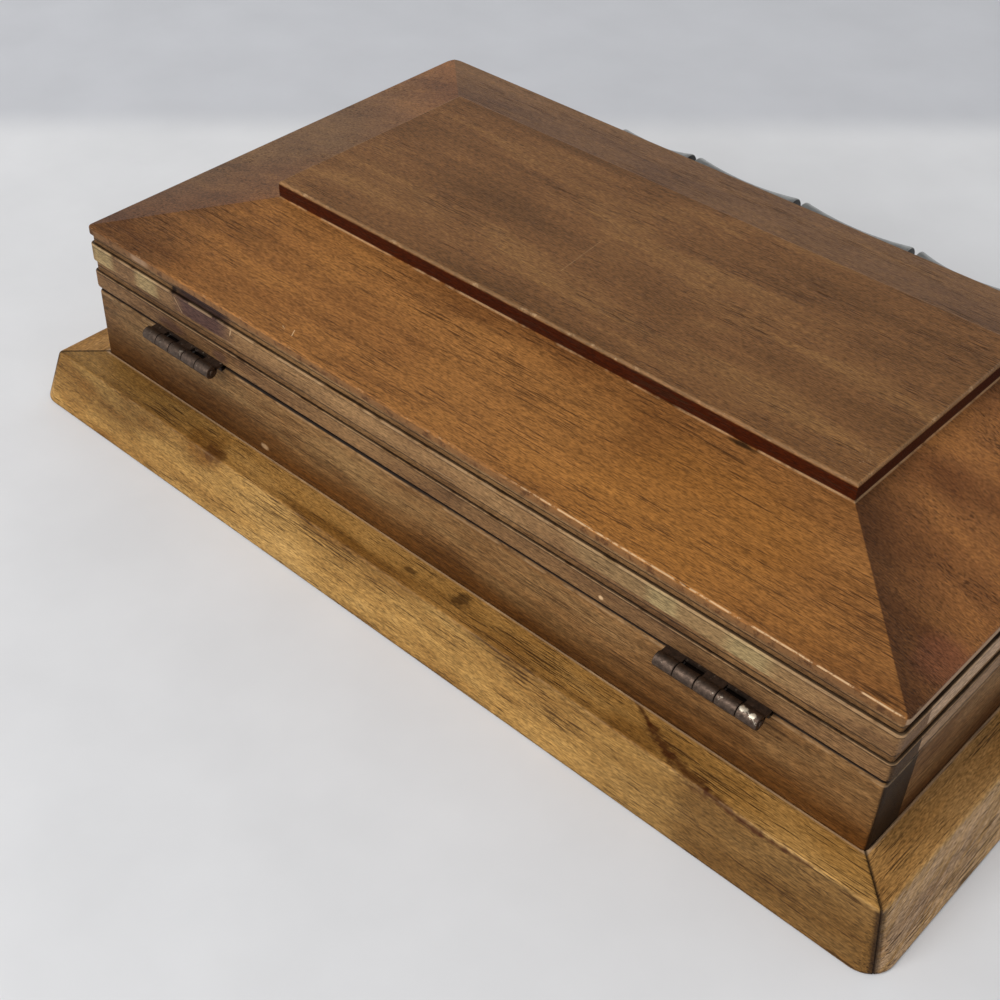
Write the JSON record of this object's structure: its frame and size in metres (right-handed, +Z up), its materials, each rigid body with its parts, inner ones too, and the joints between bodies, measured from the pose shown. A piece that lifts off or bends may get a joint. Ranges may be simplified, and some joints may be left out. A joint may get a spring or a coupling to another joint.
{
  "type": "trinket box",
  "caption": "Rectangular wooden trinket box with a raised, fielded lid on a grooved rim, a moulded plinth, butt hinges at the back and a bamboo pattern pull on the lid's front.",
  "frame": {"origin": "on the table under the middle of the plinth", "axes": "+X along the box's length, +Y towards the hinges at the back, +Z up"},
  "size_m": [0.2668, 0.1648, 0.0653],
  "materials": {
    "lid_wood": "brown stained hardwood, worn satin varnish",
    "rim_wood": "brown stained hardwood, worn satin varnish",
    "body_wood": "brown stained hardwood, satin varnish",
    "plinth_wood": "golden brown stained softwood, satin varnish",
    "plywood": "bare plywood",
    "felt": "wool felt",
    "hinge_bronze": "dark bronze plating, rubbed bright on the knuckles",
    "screw_brass": "tarnished",
    "pull_pewter": "antique pewter, dark in the grooves",
    "screw_steel": "zinc plated"
  },
  "bodies": {
    "base": {"body_front": "body_wood", "body_back": "body_wood", "body_left": "body_wood", "body_right": "body_wood", "plinth_front": "plinth_wood", "plinth_back": "plinth_wood", "plinth_left": "plinth_wood", "plinth_right": "plinth_wood", "bottom_panel": "plywood", "floor_felt": "felt", "hinge_left_body_leaf": "hinge_bronze", "hinge_right_body_leaf": "hinge_bronze", "hinge_body_screws": "screw_brass"},
    "lid": {"lid_board": "lid_wood", "lid_rail_front": "rim_wood", "lid_rail_back": "rim_wood", "lid_rail_left": "rim_wood", "lid_rail_right": "rim_wood", "hinge_left_lid_leaf": "hinge_bronze", "hinge_left_pin": "hinge_bronze", "hinge_right_lid_leaf": "hinge_bronze", "hinge_right_pin": "hinge_bronze", "hinge_lid_screws": "screw_brass", "pull_handle": "pull_pewter", "pull_screws": "screw_steel"}
  },
  "joints": [
    {"name": "lid_hinge", "type": "hinge", "parent": "base", "child": "lid", "pos_m": [0, 0.0714, 0.0345], "axis": [-1, 0, 0], "range_deg": [0, 180]}
  ]
}
